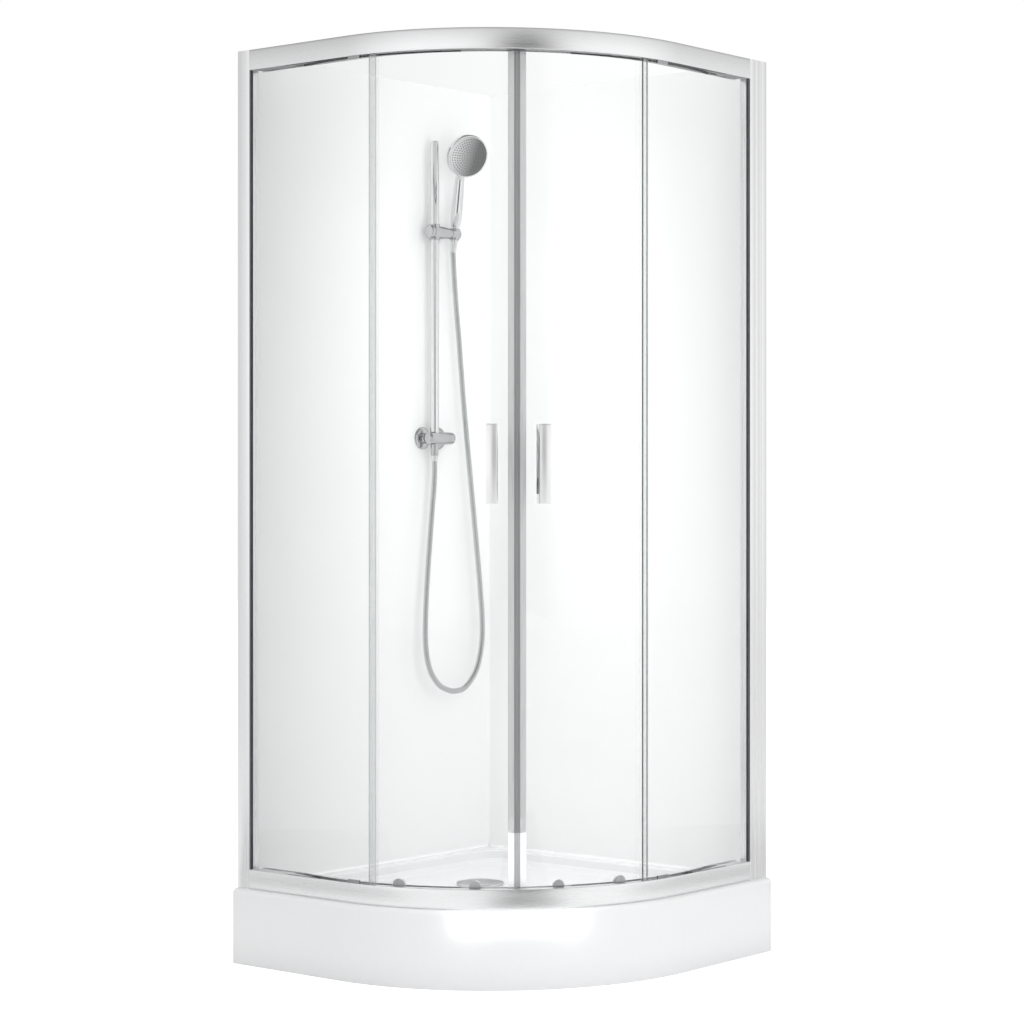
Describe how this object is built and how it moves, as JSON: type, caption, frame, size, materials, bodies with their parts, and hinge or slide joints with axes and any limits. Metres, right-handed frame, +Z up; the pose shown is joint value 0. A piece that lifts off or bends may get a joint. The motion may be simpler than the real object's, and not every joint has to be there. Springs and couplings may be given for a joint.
{
  "type": "corner shower enclosure",
  "caption": "Quadrant corner shower enclosure: raised tray, curved sliding glass doors on rollers, fixed side panes, aluminium frame, wall panels, riser with hand shower and hose",
  "frame": {"origin": "centre of the footprint's bounding square at floor level, under the tray", "axes": "+Z is up; the room's left wall is the plane x = -0.45 and its right wall is the plane y = +0.45, so the curved front faces +X -Y"},
  "size_m": [0.9, 0.9, 2.125],
  "materials": {
    "tray_acrylic": "glossy white sanitary acrylic",
    "board_wood": "plain plywood",
    "zinc_steel": "zinc-plated steel",
    "trap_plastic": "moulded grey-white plastic",
    "rubber": "matte dark grey rubber",
    "chrome": "polished chrome plating",
    "panel_white": "smooth pale white acrylic sheet",
    "clear_seal": "translucent soft plastic extrusion",
    "satin_aluminium": "satin silver anodised aluminium",
    "grey_plastic": "matte grey plastic",
    "glass": "clear toughened glass with greenish edges",
    "nylon": "white nylon",
    "hose": "silver metal-look spiral hose",
    "plated_plastic": "chrome-plated plastic"
  },
  "bodies": {
    "frame": {"tray": "tray_acrylic", "support_board": "board_wood", "tray_feet": "zinc_steel", "waste_trap": "trap_plastic", "trap_gasket": "rubber", "waste_flange": "chrome", "left_panel": "panel_white", "right_panel": "panel_white", "panel_seals": "clear_seal", "wall_profiles": "satin_aluminium", "left_post": "satin_aluminium", "right_post": "satin_aluminium", "post_screws": "zinc_steel", "top_rail": "satin_aluminium", "bottom_rail": "satin_aluminium", "top_track": "satin_aluminium", "bottom_track": "satin_aluminium", "rail_connectors": "grey_plastic", "left_pane": "glass", "right_pane": "glass", "pane_gaskets": "rubber", "pane_seals": "clear_seal", "pane_clips": "chrome", "door_stops": "rubber", "mixer_body": "chrome", "mixer_rosettes": "chrome", "riser_rail": "chrome", "outlet_nut": "chrome", "hose_loop": "hose"},
    "left_door": {"left_door_glass": "glass", "left_seal_clip": "clear_seal", "left_magnet": "grey_plastic", "left_edge_seal": "clear_seal", "left_handle": "satin_aluminium", "left_handle_screws": "chrome", "left_roller_bolts": "chrome"},
    "right_door": {"right_door_glass": "glass", "right_seal_clip": "clear_seal", "right_magnet": "grey_plastic", "right_edge_seal": "clear_seal", "right_handle": "satin_aluminium", "right_handle_screws": "chrome", "right_roller_bolts": "chrome"},
    "left_top_near_wheel": {"left_top_near_wheel": "nylon"},
    "left_top_far_wheel": {"left_top_far_wheel": "nylon"},
    "left_bottom_near_wheel": {"left_bottom_near_wheel": "nylon"},
    "left_bottom_far_wheel": {"left_bottom_far_wheel": "nylon"},
    "right_top_near_wheel": {"right_top_near_wheel": "nylon"},
    "right_top_far_wheel": {"right_top_far_wheel": "nylon"},
    "right_bottom_near_wheel": {"right_bottom_near_wheel": "nylon"},
    "right_bottom_far_wheel": {"right_bottom_far_wheel": "nylon"},
    "drain_cover": {"drain_cover": "chrome"},
    "mixer_knob": {"mixer_knob": "plated_plastic"},
    "slider": {"slider_body": "plated_plastic", "hose_top": "hose"},
    "slider_knob": {"slider_knob": "plated_plastic"},
    "handset": {"handset_holder": "plated_plastic", "handset_body": "plated_plastic", "spray_face": "grey_plastic", "handset_nut": "plated_plastic"}
  },
  "joints": [
    {"name": "left_door_slide", "type": "hinge", "parent": "frame", "child": "left_door", "pos_m": [-0.14243, 0.14243, 1.15], "axis": [0, 0, -1], "range_deg": [0, 24]},
    {"name": "right_door_slide", "type": "hinge", "parent": "frame", "child": "right_door", "pos_m": [-0.14243, 0.14243, 1.15], "axis": [0, 0, 1], "range_deg": [0, 21.32]},
    {"name": "left_top_near_wheel_spin", "type": "hinge", "parent": "left_door", "child": "left_top_near_wheel", "pos_m": [0.18099, -0.30983, 2.098], "axis": [0.5817, -0.8134, 0], "range_deg": [0, 1165]},
    {"name": "left_top_far_wheel_spin", "type": "hinge", "parent": "left_door", "child": "left_top_far_wheel", "pos_m": [0.02615, -0.3874, 2.098], "axis": [0.3032, -0.9529, 0], "range_deg": [0, 1165]},
    {"name": "left_bottom_near_wheel_spin", "type": "hinge", "parent": "left_door", "child": "left_bottom_near_wheel", "pos_m": [0.18099, -0.30983, 0.223], "axis": [0.5817, -0.8134, 0], "range_deg": [0, 1165]},
    {"name": "left_bottom_far_wheel_spin", "type": "hinge", "parent": "left_door", "child": "left_bottom_far_wheel", "pos_m": [0.02615, -0.3874, 0.223], "axis": [0.3032, -0.9529, 0], "range_deg": [0, 1165]},
    {"name": "right_top_near_wheel_spin", "type": "hinge", "parent": "right_door", "child": "right_top_near_wheel", "pos_m": [0.30983, -0.18099, 2.098], "axis": [0.8134, -0.5817, 0], "range_deg": [-1034.9, 0]},
    {"name": "right_top_far_wheel_spin", "type": "hinge", "parent": "right_door", "child": "right_top_far_wheel", "pos_m": [0.37894, -0.05074, 2.098], "axis": [0.9377, -0.3474, 0], "range_deg": [-1034.9, 0]},
    {"name": "right_bottom_near_wheel_spin", "type": "hinge", "parent": "right_door", "child": "right_bottom_near_wheel", "pos_m": [0.30983, -0.18099, 0.223], "axis": [0.8134, -0.5817, 0], "range_deg": [-1034.9, 0]},
    {"name": "right_bottom_far_wheel_spin", "type": "hinge", "parent": "right_door", "child": "right_bottom_far_wheel", "pos_m": [0.37894, -0.05074, 0.223], "axis": [0.9377, -0.3474, 0], "range_deg": [-1034.9, 0]},
    {"name": "cover_lift", "type": "slide", "parent": "frame", "child": "drain_cover", "axis": [0, 0, 1], "range_m": [0, 0.03]},
    {"name": "mixer_turn", "type": "hinge", "parent": "frame", "child": "mixer_knob", "pos_m": [-0.41, 0.2, 1.231], "axis": [0, 1, 0], "range_deg": [0, 90]},
    {"name": "slider_move", "type": "slide", "parent": "frame", "child": "slider", "axis": [0, 0, 1], "range_m": [-0.35, 0.19], "deforming": ["hose_loop"]},
    {"name": "knob_turn", "type": "hinge", "parent": "slider", "child": "slider_knob", "pos_m": [-0.41, 0.2, 1.75], "axis": [0, 1, 0], "range_deg": [0, 90]},
    {"name": "holder_tilt", "type": "hinge", "parent": "slider", "child": "handset", "pos_m": [-0.41, 0.275, 1.75], "axis": [0, 1, 0], "range_deg": [-10, 15], "deforming": ["hose_top"]}
  ],
  "couplings": [
    {"joint": "left_top_near_wheel_spin", "follows": "left_door_slide", "ratio": 48.348},
    {"joint": "left_top_far_wheel_spin", "follows": "left_door_slide", "ratio": 48.348},
    {"joint": "left_bottom_near_wheel_spin", "follows": "left_door_slide", "ratio": 48.348},
    {"joint": "left_bottom_far_wheel_spin", "follows": "left_door_slide", "ratio": 48.348},
    {"joint": "right_top_near_wheel_spin", "follows": "right_door_slide", "ratio": -48.348},
    {"joint": "right_top_far_wheel_spin", "follows": "right_door_slide", "ratio": -48.348},
    {"joint": "right_bottom_near_wheel_spin", "follows": "right_door_slide", "ratio": -48.348},
    {"joint": "right_bottom_far_wheel_spin", "follows": "right_door_slide", "ratio": -48.348}
  ]
}
